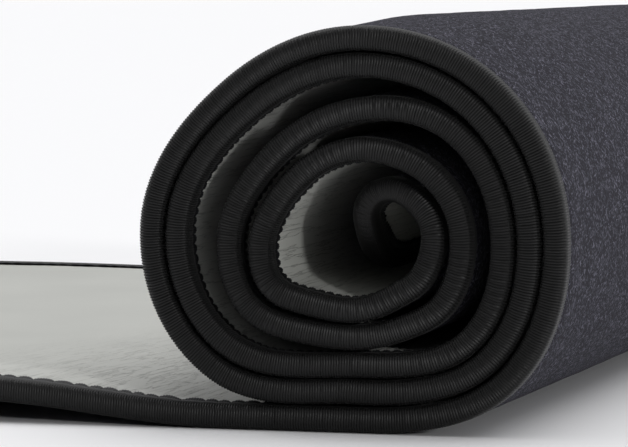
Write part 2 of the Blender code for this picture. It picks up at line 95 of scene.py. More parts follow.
def inside_turn(radii, step, distance):
    """The largest radius at a step that is this far in from every nearby point of the turn outside."""
    best = radii[step]
    for other in range(max(0, step - 60 // STEP), step + 60 // STEP):
        turned = radians((other - step) * STEP)
        side = radii[other] * sin(turned)
        if abs(side) < distance:
            best = min(best, radii[other] * cos(turned) - sqrt(distance**2 - side**2))
    return best


def winding_radii():
    """The middle of the panel's thickness, as radii from under the roll round to its core."""
    outer = [OUTER_WRAPS * PITCH + opening * MM for opening in OPENING]
    outer.append(outer[0] - PITCH - SLACK[0][0] * MM)
    bends = [1 / radius for radius in outer]
    radii = [1 / smooth_between(bends, degree / 45) for degree in range(0, 360, STEP)]
    turn = len(radii)
    slack = [value * MM for row in SLACK for value in row]
    slack += [slack[-1]] * 8
    while (len(radii) - 1) * STEP < WINDING_END:
        here = len(radii) - turn
        room = max(0, smooth_between(slack, here * STEP / 45))
        radii.append(inside_turn(radii, here, PITCH + room))
    for _ in range(SOFTENINGS):
        inner = range(turn, len(radii) - 1)
        radii[turn:-1] = [(radii[i - 1] + 2 * radii[i] + radii[i + 1]) / 4 for i in inner]
    return np.array(radii)


def winding():
    """Points of the winding round (0, 0), and its inward normals, one to each STEP."""
    radii = winding_radii()
    angles = np.radians(np.arange(len(radii)) * STEP)
    points = np.stack([radii * np.sin(angles), -radii * np.cos(angles)], 1)
    last = points[-1] - points[-2]
    heading = np.arctan2(last[1], last[0])
    length = CURL_LENGTH / CURL_STEPS
    headings = heading + length / CURL_RADIUS * np.arange(1, CURL_STEPS + 1)
    steps = length * np.stack([np.cos(headings), np.sin(headings)], 1)
    points = np.vstack([points, points[-1] + np.cumsum(steps, 0)])
    ways = np.vstack([[1, 0], points[2:] - points[:-2], steps[-1], steps[-1]])
    points = np.vstack([points, points[-1] + steps[-1] / length * STRAIGHT_END])
    ways /= np.linalg.norm(ways, axis=1)[:, None]
    return points, np.stack([-ways[:, 1], ways[:, 0]], 1)


turn_points, turn_normals = winding()
turn_lengths = np.linalg.norm(np.diff(turn_points, axis=0), axis=1)
TURN_S = np.concatenate([[0], np.cumsum(turn_lengths)])
TAIL = LENGTH - TURN_S[-1]
CENTRE_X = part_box("tail_binding")[0].x + TAIL
CENTRE_Z = THICKNESS / 2 - turn_points[0, 1]
KNOT_S = np.concatenate([[0], TAIL + TURN_S])
KNOT_POINTS = np.vstack([[-TAIL, turn_points[0, 1]], turn_points])
KNOT_NORMALS = np.vstack([[0, 1], turn_normals])

# The near edge of the flat tail lifts a little off the floor before it reaches the roll.
LIFT = 7.5 * MM
LIFT_RISES = (52 * MM, 150 * MM)
LIFT_FALLS = (175 * MM, 340 * MM)
LIFT_WIDTH = 300 * MM


def ease(x, start, stop):
    """From 0 at start to 1 at stop, level at both."""
    t = np.clip((x - start) / (stop - start), 0, 1)
    return t * t * (3 - 2 * t)


# Away from its bound edges the padding is thicker, so the roll stands a little higher there.
SWELL = (0.012, 0.021)
SWELL_RISES = (4 * MM, 110 * MM)
# The far edge of the tail curls up a little, more so towards the foot end.
FAR_CURL = 5.0 * MM
FAR_CURL_WIDTH = 46 * MM
FAR_CURL_RISES = (60 * MM, 340 * MM)


def on_panel(s, y, n):
    """Points of the flat panel, in their places in the rolled blanket."""
    s, y, n = np.broadcast_arrays(s, y, n)
    spot = [np.interp(s, KNOT_S, KNOT_POINTS[:, i]) for i in (0, 1)]
    way = [np.interp(s, KNOT_S, KNOT_NORMALS[:, i]) for i in (0, 1)]
    size = np.hypot(*way)
    before = TAIL - s
    lift = LIFT * ease(before, *LIFT_RISES) * (1 - ease(before, *LIFT_FALLS))
    lift = lift * (1 - ease(y, 0, LIFT_WIDTH))
    lift = lift + FAR_CURL * ease(y, WIDTH - FAR_CURL_WIDTH, WIDTH) * ease(before, *FAR_CURL_RISES)
    swell = ease(np.minimum(y, WIDTH - y), *SWELL_RISES)
    x = spot[0] + way[0] / size * n
    z = CENTRE_Z + spot[1] + way[1] / size * n
    x = CENTRE_X + x * np.where(s > TAIL, 1 + SWELL[0] * swell, 1)
    z = z * (1 + SWELL[1] * swell) + lift
    return np.stack([x, y - WIDTH / 2, z], -1)


def turn_s(degree):
    """How far along the panel a turn of the winding has come."""
    return TAIL + TURN_S[degree // STEP]


def corner_inset(s, inset):
    """How far a line that runs inset from the outline is from the long edge, at s."""
    from_end = np.clip(np.minimum(s, LENGTH - s) - inset, 0, CORNER - inset)
    radius = CORNER - inset
    return inset + radius - np.sqrt(radius**2 - (radius - from_end) ** 2)


# The stretches that each cloth is made in: from, to, the bodies under it and the place of its fold, if any.
TAIL_FOLD = TAIL - 125 * MM
FOOT_STOP = TAIL - 30 * MM
BEND = 20 * MM
STRETCHES = {
    "foot": (0, FOOT_STOP, ("tail", "root"), TAIL_FOLD),
    "underside": (FOOT_STOP, turn_s(66), ("root", "arc_1"), turn_s(45)),
    "side": (turn_s(66), turn_s(120), ("arc_1", "arc_2"), turn_s(90)),
    "shoulder": (turn_s(120), turn_s(180), ("arc_2", "roll"), turn_s(150)),
    "outer_turns": (turn_s(180), turn_s(720), ("roll",), None),
    "inner_turns": (turn_s(720), LENGTH, ("roll",), None),
}
STANDS_FOR = {
    "foot": "tail",
    "underside": "root",
    "side": "arc_1",
    "shoulder": "arc_2",
    "outer_turns": "roll",
    "inner_turns": "roll",
}


def carry(piece, stretch):
    """The piece goes with its stretch's body where the stretch has no fold; where it has one, its place is
    only baked into its mesh.
    """
    bodies, fold = STRETCHES[stretch][2:]
    if fold is None:
        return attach(piece, bodies[0])
    start = on_panel(fold - BEND, WIDTH / 2, 0)
    end = on_panel(fold + BEND, WIDTH / 2, 0)
    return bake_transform(piece)


def solid(name, points, quads, caps=(), **patterns):
    """A smooth mesh from points, four-sided faces and a few end faces, turned outward.

    Each pattern is a vector for each point, which its material reads by name.
    """
    a, b, c, d = (points[quads[:, i]] for i in range(4))
    volume = (a * np.cross(b, c)).sum() + (a * np.cross(c, d)).sum()
    faces = [list(face) for face in caps]
    if volume < 0:
        quads = quads[:, ::-1]
        faces = [face[::-1] for face in faces]
    corners = np.concatenate([quads.ravel(), np.array(sum(faces, []), int)])
    sizes = [4] * len(quads) + [len(face) for face in faces]
    mesh = bpy.data.meshes.new(name)
    mesh.vertices.add(len(points))
    mesh.vertices.foreach_set("co", points.astype(np.float32).ravel())
    mesh.loops.add(len(corners))
    mesh.loops.foreach_set("vertex_index", corners.astype(np.int32))
    mesh.polygons.add(len(sizes))
    mesh.polygons.foreach_set("loop_start", np.cumsum([0] + sizes[:-1]).astype(np.int32))
    for pattern, values in patterns.items():
        layer = mesh.attributes.new(pattern, "FLOAT_VECTOR", "POINT")
        layer.data.foreach_set("vector", values.astype(np.float32).ravel())
    mesh.update(calc_edges=True)
    mesh.shade_smooth()
    mesh.set_sharp_from_angle(angle=radians(55))
    piece = bpy.data.objects.new(name, mesh)
    bpy.context.collection.objects.link(piece)
    return piece


COLUMN_KEPT = 100 * MM


def cloth(name, rows, columns, inset, low, high, window=None):
    """A closed sheet of cloth from height low to height high, both found from s and y.

    Its rows run along the panel and its columns across it. Near the rounded corners the columns
    draw together. A window (s from, s to, y from, y to) is left open.
    """
    s = rows[:, None] + 0 * columns
    out = np.minimum(columns, WIDTH - columns)
    edge = corner_inset(rows, inset)[:, None]
    drawn = COLUMN_KEPT - (COLUMN_KEPT - out) * (COLUMN_KEPT - edge) / (COLUMN_KEPT - inset)
    out = np.where(out < COLUMN_KEPT, drawn, out)
    y = np.where(columns < WIDTH / 2, out, WIDTH - out)
    n = np.stack([low(s, y), high(s, y)])
    points = on_panel(s, y, n)
    at = np.arange(s.size).reshape(s.shape)
    cells = np.stack([at[:-1, :-1], at[1:, :-1], at[1:, 1:], at[:-1, 1:]], -1).reshape(-1, 4)
    if window:
        middle_s, middle_y = s.ravel()[cells].mean(1), y.ravel()[cells].mean(1)
        inside = (middle_s > window[0]) & (middle_s < window[1])
        inside &= (middle_y > window[2]) & (middle_y < window[3])
        cells = cells[~inside]
    edges = np.concatenate([cells[:, [i, (i + 1) % 4]] for i in range(4)])
    code, back = edges @ [s.size, 1], edges @ [1, s.size]
    rim = edges[~np.isin(code, back)]
    walls = np.stack([rim[:, 1], rim[:, 0], rim[:, 0] - s.size, rim[:, 1] - s.size], 1)
    quads = np.concatenate([cells + s.size, cells[:, ::-1], walls + s.size])
    used, quads = np.unique(quads, return_inverse=True)
    patterns = np.stack(np.broadcast_arrays(s, y, n), -1).reshape(-1, 3)
    return solid(name, points.reshape(-1, 3)[used], quads.reshape(-1, 4), on_cloth=patterns[used])


def spaced(start, stop, step, marks=()):
    """Places from start to stop, about a step apart, with the marks among them."""
    places = np.linspace(start, stop, max(2, round((stop - start) / step) + 1))
    marks = [mark for mark in marks if start < mark < stop]
    return np.unique(np.concatenate([places, marks]))


def uneven(u, v, seed):
    """Smooth chance heights from -1 to 1, about one bump to each unit of u and of v."""
    table = np.random.default_rng(seed).uniform(-1, 1, (128, 128))
    i, j = np.floor(u).astype(int), np.floor(v).astype(int)
    a, b = ease(u - i, 0, 1), ease(v - j, 0, 1)
    i, j, after_i, after_j = i % 128, j % 128, (i + 1) % 128, (j + 1) % 128
    near = table[i, j] * (1 - a) + table[after_i, j] * a
    far = table[i, after_j] * (1 - a) + table[after_i, after_j] * a
    return near * (1 - b) + far * b


# How high each cloth lies where the tape presses the panel flat, as in the frame. Further in, the
# padding swells by PUFF each side, and the cloths on it by their share of that.
FELT_LOW, FELT_HIGH = -3.3 * MM, -1.6 * MM
PADDING_LOW, PADDING_HIGH = -1.3 * MM, 1.4 * MM
HEATER_LOW, HEATER_HIGH = 1.7 * MM, 2.2 * MM
FACE_LOW, FACE_HIGH = 2.5 * MM, 3.3 * MM
PRESSED = (6.0 * MM, 17.0 * MM)
PUFF = 0.85 * MM
PADDING_SHARE = 0.95
HEATER_SHARE = 0.97
COVER_LOW, COVER_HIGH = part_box("inlet_cover")
COVER_PINCH = (4 * MM, 22 * MM)


def puff(s, y):
    """How far the padding swells each side past its height at the edge, clear of the inlet."""
    from_edge = np.minimum(y, WIDTH - y) - corner_inset(s, 0)
    from_end = np.minimum(s, LENGTH - s)
    swell = ease(np.minimum(from_edge, from_end), *PRESSED)
    x = s - TAIL + CENTRE_X
    beyond_x = np.maximum(np.maximum(COVER_LOW.x - x, x - COVER_HIGH.x), 0)
    beyond_y = np.maximum(np.abs(y - WIDTH / 2) - COVER_HIGH.y, 0)
    return PUFF * swell * ease(np.hypot(beyond_x, beyond_y), *COVER_PINCH)


EDGE_COLUMNS = [0, 1.5, 3, 5, 7, 8.5, 10, 11.5, 13, 15, 18, 22, 27, 34, 42, 52, 64, 78]
CLOTH_INSET = 1.3 * MM


def columns_across(step, marks=()):
    """Places across the panel: close together at both edges, and a step apart between."""
    edge = CLOTH_INSET + np.array(EDGE_COLUMNS) * MM
    middle = spaced(90 * MM, WIDTH - 90 * MM, step, marks)
    return np.concatenate([edge, middle, WIDTH - edge[::-1]])


def rows_along(stretch, step, marks=()):
    """Places along a stretch of the panel, a step apart."""
    start, stop = STRETCHES[stretch][:2]
    return spaced(max(start, CLOTH_INSET), min(stop, LENGTH - CLOTH_INSET), step, marks)


# Materials
# Each starts from what the real one is made of. Colours are sRGB, turned to linear.


def linear(colour):
    """An sRGB hex colour as linear red, green, blue and alpha."""
    parts = [int(colour[i : i + 2], 16) / 255 for i in (1, 3, 5)]
    return (*(p / 12.92 if p < 0.04045 else ((p + 0.055) / 1.055) ** 2.4 for p in parts), 1)


def add(look, kind, inputs, **settings):
    """Adds a node to a material, with its settings, and its inputs' values or links."""
    node = look.node_tree.nodes.new("ShaderNode" + kind)
    for name, value in settings.items():
        setattr(node, name, value)
    for name, value in inputs.items():
        if isinstance(value, bpy.types.NodeSocket):
            look.node_tree.links.new(value, node.inputs[name])
        else:
            node.inputs[name].default_value = value
    return node


def begin(name, **values):
    """A new material and its surface shader, with plain values on the shader's own sockets."""
    look = bpy.data.materials.new(name)
    look.use_nodes = True
    shader = look.node_tree.nodes["Principled BSDF"]
    for key, value in values.items():
        shader.inputs[key.replace("_", " ")].default_value = value
    return look, shader


def join(look, shader, **sockets):
    """Links sockets to the surface shader's inputs."""
    for key, socket in sockets.items():
        look.node_tree.links.new(socket, shader.inputs[key.replace("_", " ")])


def stretched_noise(look, place, sizes, **values):
    """Noise whose bumps have these sizes along s, y and n, in millimetres."""
    scaled = add(look, "VectorMath", {0: place, 1: [1 / (size * MM) for size in sizes]}, operation="MULTIPLY")
    return add(look, "TexNoise", {"Vector": scaled.outputs[0], "Scale": 1.0, **values}).outputs["Fac"]


def ramp(look, factor, stops):
    """Colours along a factor, from (place, hex colour) pairs."""
    node = add(look, "ValToRGB", {"Fac": factor})
    elements = node.color_ramp.elements
    for i, (place, colour) in enumerate(stops):
        element = elements[i] if i < 2 else elements.new(place)
        element.position = place
        element.color = linear(colour)
    return node.outputs["Color"]


# The heated face
# Grey polyurethane leather, coated on a thin knitted back. It is soft and matt, with a very fine
# grain, and where the panel is bent it creases in fine lines that run across the panel.

# The deep grey is reached by random clouding, and by painted shade in the crease valleys.
PU_GREY = "#bcbdb7"
PU_GREY_DEEP = "#8f908c"
CREASED_FROM = (TAIL - 0.21, TAIL - 0.10)
CREASED_WITHIN = (0.34, 0.20)
ROLLED_FROM = (TAIL - 0.02, TAIL + 0.03)


def pu_leather():
    """Half matt from its pressed grain, with painted shade that darkens the crease valleys."""
    look, shader = begin("pu_leather_calendered", Roughness=0.56, IOR=1.48, Sheen_Weight=0.08)
    place = add(look, "Attribute", {}, attribute_name="on_cloth").outputs["Vector"]
    creases = stretched_noise(look, place, (3.0, 60, 40), Detail=3.0, Roughness=0.6, Distortion=0.15)
    grain = stretched_noise(look, place, (0.45, 0.6, 5), Detail=2.0)
    cloudy = stretched_noise(look, place, (60, 90, 40), Detail=2.0)
    valley = add(look, "Math", {0: creases, 1: 0.5}, operation="SUBTRACT").outputs[0]
    valley = add(look, "Math", {0: valley}, operation="ABSOLUTE").outputs[0]
    line = add(look, "MapRange", {0: valley, 1: 0.0, 2: 0.022, 3: 1.0, 4: 0.0}).outputs[0]
    parts = add(look, "SeparateXYZ", {0: place})
    worked = add(look, "MapRange", {0: parts.outputs[0], 1: CREASED_FROM[0], 2: CREASED_FROM[1]}).outputs[0]
    near = {0: parts.outputs[1], 1: CREASED_WITHIN[0], 2: CREASED_WITHIN[1], 3: 0.12, 4: 1.0}
    flat = add(look, "MapRange", near).outputs[0]
    rolled = add(look, "MapRange", {0: parts.outputs[0], 1: ROLLED_FROM[0], 2: ROLLED_FROM[1]}).outputs[0]
    where = add(look, "Math", {0: flat, 1: rolled}, operation="MAXIMUM").outputs[0]
    worked = add(look, "Math", {0: worked, 1: where}, operation="MULTIPLY").outputs[0]
    line = add(look, "Math", {0: line, 1: worked}, operation="MULTIPLY").outputs[0]
    tone = add(look, "Math", {0: cloudy, 1: 0.25, 2: 0.0}, operation="MULTIPLY_ADD").outputs[0]
    # Painted shade: the crease lines darken the grey towards the deep grey, on top of the random clouding.
    tone = add(look, "Math", {0: line, 1: 0.55, 2: tone}, operation="MULTIPLY_ADD").outputs[0]
    colour = ramp(look, tone, [(0.05, PU_GREY), (0.75, PU_GREY_DEEP)])
    depth = add(look, "Math", {0: grain, 1: -0.10, 2: line}, operation="MULTIPLY_ADD").outputs[0]
    bump = add(look, "Bump", {"Height": depth, "Distance": 0.22 * MM, "Strength": 0.9}, invert=True)
    rough = add(look, "MapRange", {0: grain, 3: 0.50, 4: 0.64}).outputs[0]
    join(look, shader, Base_Color=colour, Normal=bump.outputs[0], Roughness=rough)
    return look


def face_high(s, y):
    """The leather's own surface: swollen, with soft creases across the panel where it bends."""
    bent = ease(s, TAIL - 260 * MM, TAIL + 20 * MM)
    wander = 3.0 * uneven(y / (70 * MM), s / (45 * MM), 11)
    folds = uneven(s / (7 * MM) + wander, y / (120 * MM), 12)
    fine = uneven(s / (3.4 * MM) + 2 * wander, y / (80 * MM), 13)
    creased = (0.12 * folds + 0.07 * fine) * bent * MM
    soft = 0.22 * MM * uneven(s / (48 * MM), y / (65 * MM), 14)
    return FACE_HIGH + puff(s, y) + (creased + soft) * puff(s, y) / PUFF


def window_under(node, margin):
    """The window that a cloth leaves under a piece of the inlet, in s and y."""
    low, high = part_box(node)
    s_low, s_high = (x - CENTRE_X + TAIL for x in (low.x, high.x))
    y_low, y_high = (y + WIDTH / 2 for y in (low.y, high.y))
    return s_low + margin, s_high - margin, y_low + margin, y_high - margin


leather = pu_leather()
face_window = window_under("inlet_cover", 6.5 * MM)
for stretch in STRETCHES:
    hole = face_window if stretch == "foot" else None
    marks_s, marks_y = (hole[:2], hole[2:]) if hole else ((), ())
    step = 1.25 * MM if stretch in ("outer_turns", "inner_turns") else 1.0 * MM
    rows = rows_along(stretch, step, marks_s)
    piece = cloth(
        "face_" + stretch,
        rows,
        columns_across(13 * MM, marks_y),
        CLOTH_INSET,
        lambda s, y: FACE_LOW + puff(s, y),
        face_high,
        hole,
    )
    piece.data.materials.append(leather)
    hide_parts(STANDS_FOR[stretch] + "_heated_face")
    carry(piece, stretch)

# The felt cover
# Dense needled polyester felt, dyed near black with a blue cast, with pale fibres carded in. It
# is the outside of the roll, matt and a little hairy, and gently uneven from the wadding below.

FELT_DARK = "#0e0e14"
FELT_MID = "#23222b"
FELT_PALE = "#706f7c"


def needled_felt():
    """Dull and hairy: dark tufts, crossed by pale fibres drawn thicker than life so that they show."""
    fuzz = {"Sheen_Weight": 0.05, "Sheen_Roughness": 0.6}
    look, shader = begin("needled_felt", Roughness=0.98, Specular_IOR_Level=0.2, **fuzz)
    shader.inputs["Sheen Tint"].default_value = linear("#b9b8c6")
    place = add(look, "Attribute", {}, attribute_name="on_cloth").outputs["Vector"]
    tufts = stretched_noise(look, place, (1.6, 1.6, 6), Detail=4.0, Roughness=0.7)
    clouds = stretched_noise(look, place, (14, 14, 30), Detail=2.0)
    tone = add(look, "Math", {0: clouds, 1: 0.3, 2: tufts}, operation="MULTIPLY_ADD").outputs[0]
    colour = ramp(look, tone, [(0.35, FELT_DARK), (0.85, FELT_MID)])
    fibres = None
    for turned, low in ((0.3, 0.61), (1.4, 0.62), (2.5, 0.61)):
        spun = add(look, "VectorRotate", {"Vector": place, "Angle": turned}, rotation_type="Z_AXIS")
        thread = stretched_noise(look, spun.outputs[0], (0.55, 2.6, 7), Detail=1.0)
        shown = add(look, "MapRange", {0: thread, 1: low, 2: low + 0.10}).outputs[0]
        if fibres is not None:
            shown = add(look, "Math", {0: fibres, 1: shown}, operation="MAXIMUM").outputs[0]
        fibres = shown
    mixed = add(look, "Mix", {0: fibres, 6: colour, 7: linear(FELT_PALE)}, data_type="RGBA").outputs[2]
    height = add(look, "Math", {0: fibres, 1: 0.5, 2: tufts}, operation="MULTIPLY_ADD").outputs[0]
    bump = add(look, "Bump", {"Height": height, "Distance": 0.8 * MM, "Strength": 1.0})
    join(look, shader, Base_Color=mixed, Normal=bump.outputs[0])
    return look


def felt_low(s, y):
    """The felt's outer surface, uneven over a few centimetres and never below the floor."""
    wavy = 0.5 + 0.3 * uneven(s / (26 * MM), y / (30 * MM), 21) + 0.2 * uneven(s / (9 * MM), y / (9 * MM), 22)
    return FELT_LOW - puff(s, y) * (1 + 0.45 * wavy)


felt = needled_felt()
for stretch in STRETCHES:
    step = 3.0 * MM if stretch in ("outer_turns", "inner_turns") else 2.0 * MM
    rows = rows_along(stretch, step)
    piece = cloth(
        "felt_" + stretch,
        rows,
        columns_across(5 * MM),
        CLOTH_INSET,
        felt_low,
        lambda s, y: FELT_HIGH - puff(s, y),
    )
    piece.data.materials.append(felt)
    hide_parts(STANDS_FOR[stretch] + "_felt_cover")
    carry(piece, stretch)

# The padding
# Off-white needled wadding that fills the panel and swells between its bound edges.

wadding, wadding_shader = begin("needled_wadding", Roughness=0.97, Sheen_Weight=0.2)
place = add(wadding, "Attribute", {}, attribute_name="on_cloth").outputs["Vector"]
lint = stretched_noise(wadding, place, (1.2, 1.8, 1.2), Detail=4.0)
fluff = add(wadding, "Bump", {"Height": lint, "Distance": 0.6 * MM, "Strength": 1.0})
off_white = ramp(wadding, lint, [(0.3, "#cfcdc4"), (0.7, "#efeee9")])
join(wadding, wadding_shader, Base_Color=off_white, Normal=fluff.outputs[0])
pocket = window_under("inlet_base_plate", -1.0 * MM)
for stretch in STRETCHES:
    hole = pocket if stretch == "foot" else None
    marks_s, marks_y = (hole[:2], hole[2:]) if hole else ((), ())
    piece = cloth(
        "padding_" + stretch,
        rows_along(stretch, 6 * MM, marks_s),
        columns_across(16 * MM, marks_y),
        CLOTH_INSET,
        lambda s, y: PADDING_LOW - PADDING_SHARE * puff(s, y),
        lambda s, y: PADDING_HIGH + PADDING_SHARE * puff(s, y),
        hole,
    )
    piece.data.materials.append(wadding)
    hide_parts(STANDS_FOR[stretch] + "_padding")
    carry(piece, stretch)

# The heating film
# Carbon fibre paper laminated in clear film, with a bare copper strip along each edge that feeds
# it. It lies under the face, so it shows only where the panel is taken apart.

FILM_ENDS = (104 * MM, LENGTH - 96 * MM)
STRIP_EDGES = (24 * MM, 36 * MM)
FILM_EDGE = 36.3 * MM


def carbon_film():
    """Black paper flecked by chopped fibres, glossy from the clear film over it."""
    look, shader = begin("carbon_fibre_film", Roughness=0.34, Coat_Weight=0.4, Coat_Roughness=0.2)
    place = add(look, "Attribute", {}, attribute_name="on_cloth").outputs["Vector"]
    fibres = stretched_noise(look, place, (0.8, 9, 3), Detail=3.0)
    crossed = stretched_noise(look, place, (9, 0.8, 3), Detail=3.0)
    mat = add(look, "Math", {0: fibres, 1: crossed}, operation="MAXIMUM").outputs[0]
    bump = add(look, "Bump", {"Height": mat, "Distance": 0.05 * MM})
    flecked = ramp(look, mat, [(0.45, "#18181a"), (0.75, "#48484b")])
    join(look, shader, Base_Color=flecked, Normal=bump.outputs[0])
    return look


def copper_strip():
    """Bright metal with fine streaks along it from the rolls."""
    look, shader = begin("rolled_copper_strip", Metallic=1.0)
    place = add(look, "Attribute", {}, attribute_name="on_cloth").outputs["Vector"]
    streaks = stretched_noise(look, place, (30, 0.4, 2), Detail=2.0)
    rough = add(look, "MapRange", {0: streaks, 3: 0.25, 4: 0.45}).outputs[0]
    join(look, shader, Base_Color=ramp(look, streaks, [(0.3, "#c47f5c"), (0.7, "#dd9a76")]), Roughness=rough)
    return look


film_look, copper_look = carbon_film(), copper_strip()
sensor_slit = window_under("film_temperature_sensor", -0.5 * MM)
for stretch, (start, stop, *_) in STRETCHES.items():
    ends = max(start, FILM_ENDS[0]), min(stop, FILM_ENDS[1])
    first, last = STRIP_EDGES
    for name, node, edges, look, slot in (
        ("film_", "_heating_film", (FILM_EDGE, WIDTH - FILM_EDGE), film_look, "carbon_film"),
        ("strip_near_", "_busbar_near", (first, last), copper_look, "copper"),
        ("strip_far_", "_busbar_far", (WIDTH - last, WIDTH - first), copper_look, "copper"),
    ):
        hole = sensor_slit if stretch == "foot" and slot == "carbon_film" else None
        marks_s, marks_y = (hole[:2], hole[2:]) if hole else ((), ())
        piece = cloth(
            name + stretch,
            spaced(*ends, 6 * MM, marks_s),
            spaced(*edges, 16 * MM, marks_y),
            CLOTH_INSET,
            lambda s, y: HEATER_LOW + HEATER_SHARE * puff(s, y),
            lambda s, y: HEATER_HIGH + HEATER_SHARE * puff(s, y),
            hole,
        )
        piece.data.materials.append(look)
        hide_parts(STANDS_FOR[stretch] + node)
        carry(piece, stretch)

# The binding
# Black ribbed grosgrain tape, folded round the panel's edge and sewn through. Its ribs run across
# the tape, so they show as beads where they turn over both shoulders. Between the stitches its
# free hem on the face puckers into rounded lobes.

RIB = 1.0 * MM
RIB_SHAPE = (1.0, 0.35, 0.0, 0.35)
PUCKERS = {"foot": 6.6 * MM}
CURLS = {"foot": 0.8 * MM, "inner_turns": 0.75 * MM}
COILED_PUCKER = 3.6 * MM
COILED_CURL = 0.5 * MM
SHOULDER = 3.4 * MM
SHOULDER_POWER = 2 / 2.3
HALF = THICKNESS / 2
# Each point of the section: how far in from the edge and what height, in mm, how deep the ribs
# are there, and how much it moves in and out with the hem's lobes.
FELT_FLANGE = (
    (8.5, -4.20, 0.10, 0.2),
    (8.1, -4.60, 0.34, 0.2),
    (6.9, -4.60, 0.26, 0.1),
    (6.3, -4.42, 0.14, 0.0),
    (5.7, -4.60, 0.26, 0.0),
    (4.0, -4.60, 0.32, 0.0),
)
FACE_FLANGE = (
    (4.2, 4.60, 0.32, 0.0),
    (6.0, 4.50, 0.22, 0.1),
    (7.4, 4.50, 0.20, 0.3),
    (8.1, 4.20, 0.10, 0.1),
    (8.8, 4.50, 0.22, 0.6),
    (9.8, 4.60, 0.26, 1.0),
    (10.5, 4.30, 0.10, 1.0),
)
INNER_SIDE = (
    (10.2, 4.08, 0, 1.0),
    (8.3, 3.96, 0, 0.2),
    (4.4, 4.05, 0, 0),
    (1.2, 3.40, 0, 0),
    (0.55, 0.0, 0, 0),
    (1.2, -3.40, 0, 0),
    (4.4, -4.05, 0, 0),
    (6.3, -3.96, 0, 0),
    (8.2, -4.05, 0, 0.3),
)


def tape_section():
    """The folded tape's section: in, height, rib depth and lobe share, from the felt side round."""
    turns = [radians(degree) for degree in range(-76, 77, 19)]
    rows = [[value * MM for value in row[:3]] + [row[3]] for row in FELT_FLANGE]
    for turn in turns:
        rise = sin(turn)
        depth = SHOULDER * (1 - cos(turn) ** SHOULDER_POWER)
        height = HALF * (abs(rise) ** SHOULDER_POWER) * (1 if rise > 0 else -1)
        rows.append([depth, height, (0.30 + 0.14 * rise**2) * MM, 0])
    rows += [[value * MM for value in row[:3]] + [row[3]] for row in FACE_FLANGE + INNER_SIDE]
    return np.array(rows).T


def outline():
    """The near half of the panel's outline, from the middle of one end to that of the other.

    It gives the distance along it, s, y, and the way in along s and along y.
    """
    turn = np.radians(np.arange(0, 91, 2))
    ones = np.ones(1)
    far = LENGTH - CORNER
    s = np.concatenate([0 * ones, CORNER - CORNER * np.cos(turn), far + CORNER * np.sin(turn), LENGTH * ones])
    y = np.concatenate(
        [WIDTH / 2 * ones, CORNER - CORNER * np.sin(turn), CORNER - CORNER * np.cos(turn), WIDTH / 2 * ones]
    )
    in_s = np.concatenate([ones, np.cos(turn), -np.sin(turn), -ones])
    in_y = np.concatenate([0 * ones, np.sin(turn), np.cos(turn), 0 * ones])
    steps = np.hypot(np.diff(s), np.diff(y))
    return np.concatenate([[0], np.cumsum(steps)]), s, y, in_s, in_y


OUTLINE = outline()
CORNER_U = WIDTH / 2 - CORNER + CORNER * pi / 2


def binding(name, start, stop, side, ribs, pucker, curl):
    """The tape between two distances along the outline, with this many sections to each rib.

    Its free hem has a lobe to every pucker, which curls up this far.
    """
    first, last = round(start / RIB) * ribs, round(stop / RIB) * ribs
    count = np.arange(first, last + 1)
    u = np.clip(count * RIB / ribs, 0, OUTLINE[0][-1])[:, None]
    s, y, in_s, in_y = (np.interp(u, OUTLINE[0], values) for values in OUTLINE[1:])
    inward, height, rib, share = tape_section()
    shape = np.array([RIB_SHAPE[i * 4 // ribs] for i in range(ribs)])[count % ribs][:, None]
    flow = pi * (u / pucker + 0.55 * uneven(u / (17 * MM), u * 0, 31))
    lobe = np.sqrt(np.abs(np.sin(flow)))
    wander = 0.5 * uneven(u / (5 * MM), u * 0, 32)
    reach = inward + share * ((1.9 * lobe - 1.2 + wander) * MM)
    high = height + share * np.sign(height) * curl * np.clip(lobe - 0.2 + 0.4 * wander, 0, 1) * (height > 0)
    # The section's own outward way, for the ribs to sink against.
    ways = np.stack([np.gradient(height), -np.gradient(inward)])
    ways /= np.hypot(*ways)
    bulge = 0.12 * MM * np.sin(2 * flow) * (inward < SHOULDER) * (rib > 0)
    sunk = rib * shape
    reach = reach + np.abs(ways[0]) * sunk + np.maximum(0, bulge)
    high = high - np.sign(height) * np.abs(ways[1]) * sunk
    e = np.maximum(reach, 0)
    s_at, y_at = s + e * in_s, y + e * in_y
    if side == "far":
        y_at = WIDTH - y_at
    points = on_panel(s_at, y_at, high)
    rows, ring = points.shape[:2]
    at = np.arange(rows * ring).reshape(rows, ring)
    after = np.roll(at, -1, axis=1)
    quads = np.stack([at[:-1], after[:-1], after[1:], at[1:]], -1).reshape(-1, 4)
    caps = [at[0].tolist()[::-1], at[-1].tolist()]
    across = np.concatenate([[0], np.cumsum(np.hypot(np.diff(inward), np.diff(height)))])
    patterns = np.stack(np.broadcast_arrays(u, across, share), -1).reshape(-1, 3)
    return solid(name, points.reshape(-1, 3), quads, caps, on_tape=patterns)


